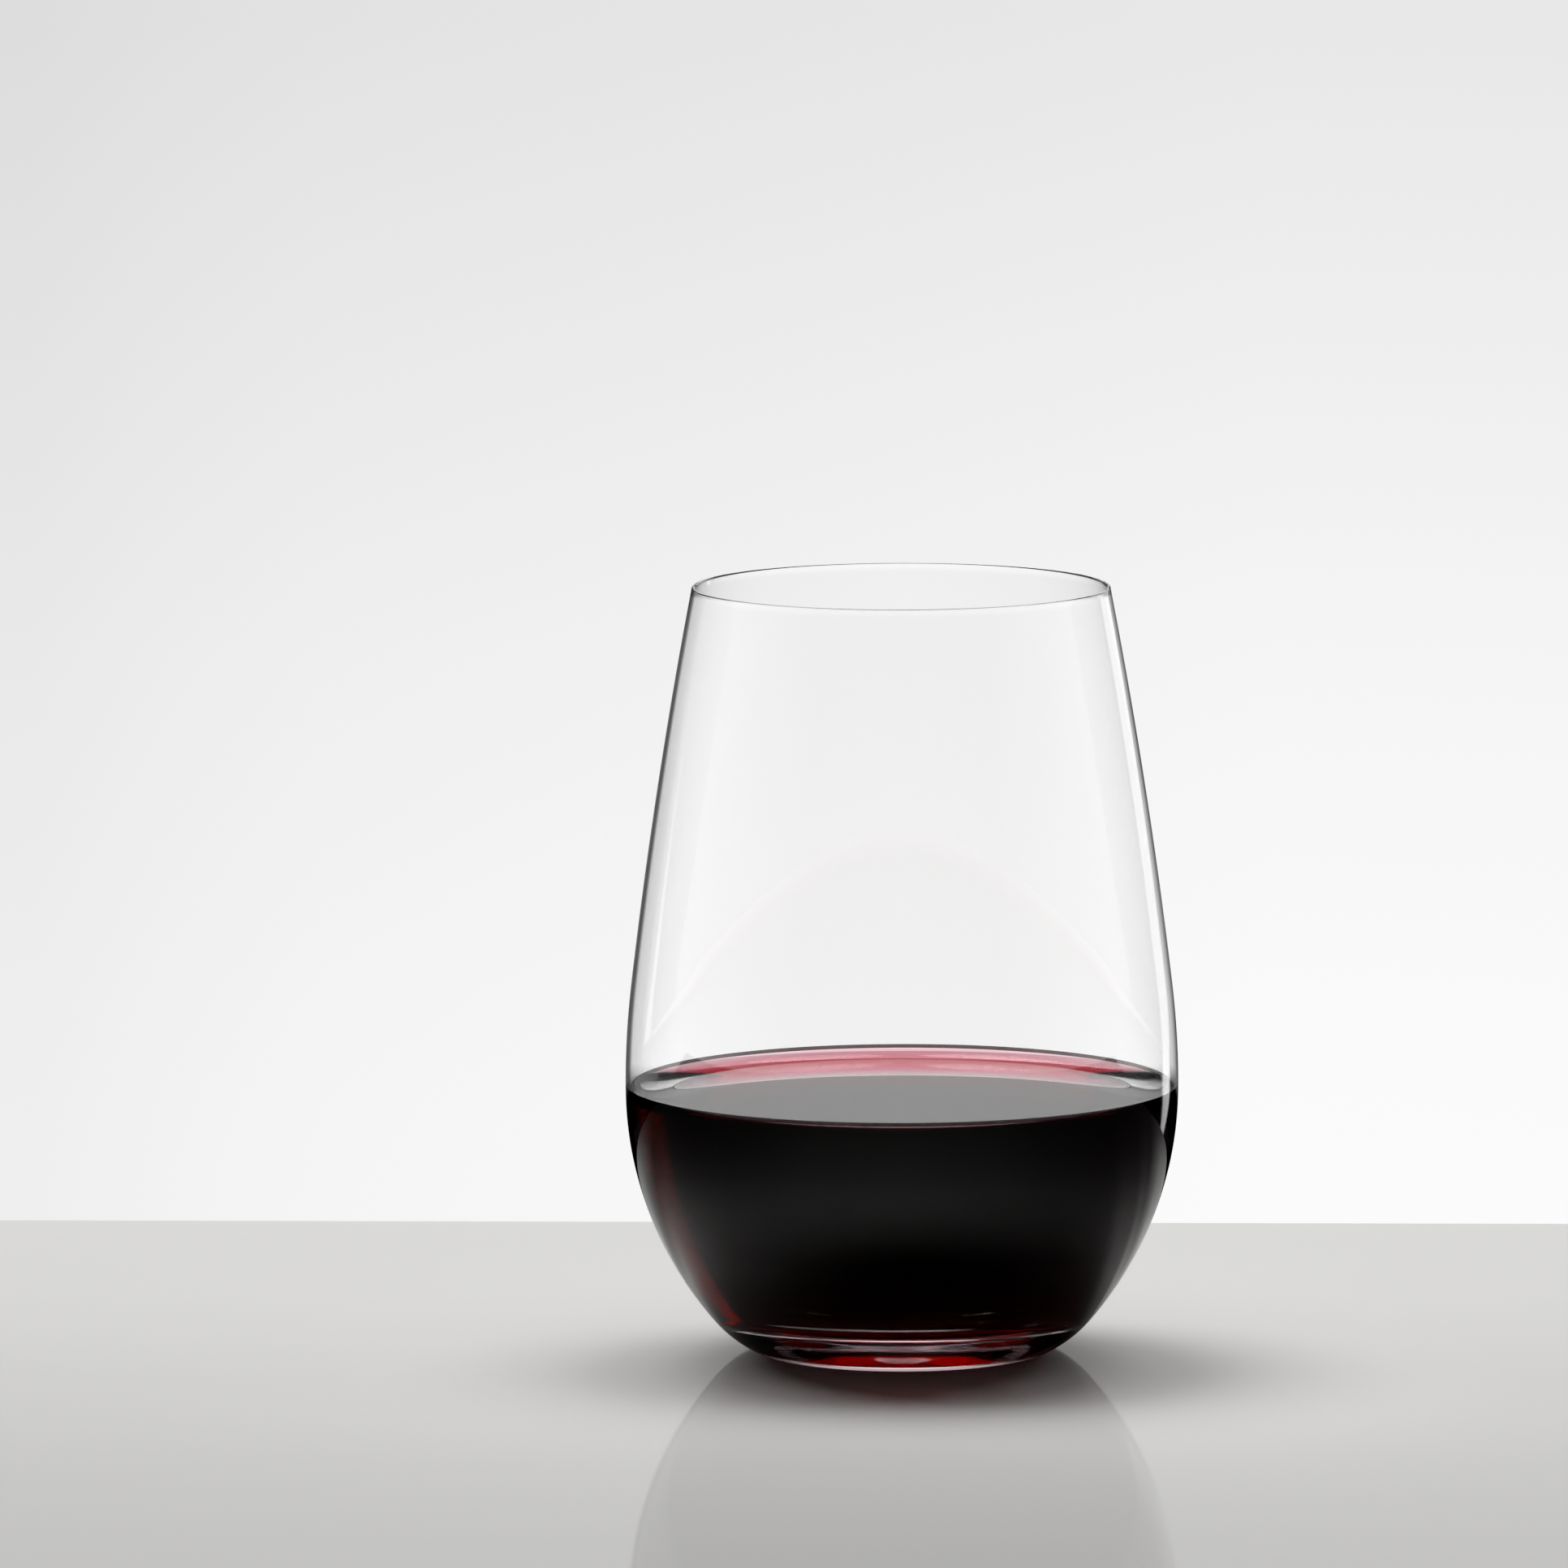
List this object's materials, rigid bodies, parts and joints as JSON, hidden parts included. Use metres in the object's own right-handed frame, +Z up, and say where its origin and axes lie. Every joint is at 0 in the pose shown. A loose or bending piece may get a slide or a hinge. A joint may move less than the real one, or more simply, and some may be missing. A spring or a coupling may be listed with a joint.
{
  "type": "stemless wine glass",
  "caption": "Stemless wine glass with an egg-shaped bowl on a thick hollowed foot, holding red wine.",
  "frame": {"origin": "middle of the foot, on the surface that the glass stands on", "axes": "+Z up along the axis that the glass is turned about; +X and +Y are alike, because the glass is round"},
  "size_m": [0.078, 0.078, 0.1084],
  "materials": {
    "clear_glass": "clear, fire-polished",
    "red_wine": "liquid, glossy"
  },
  "bodies": {
    "root": {"bowl": "clear_glass", "wine": "red_wine"}
  },
  "joints": []
}
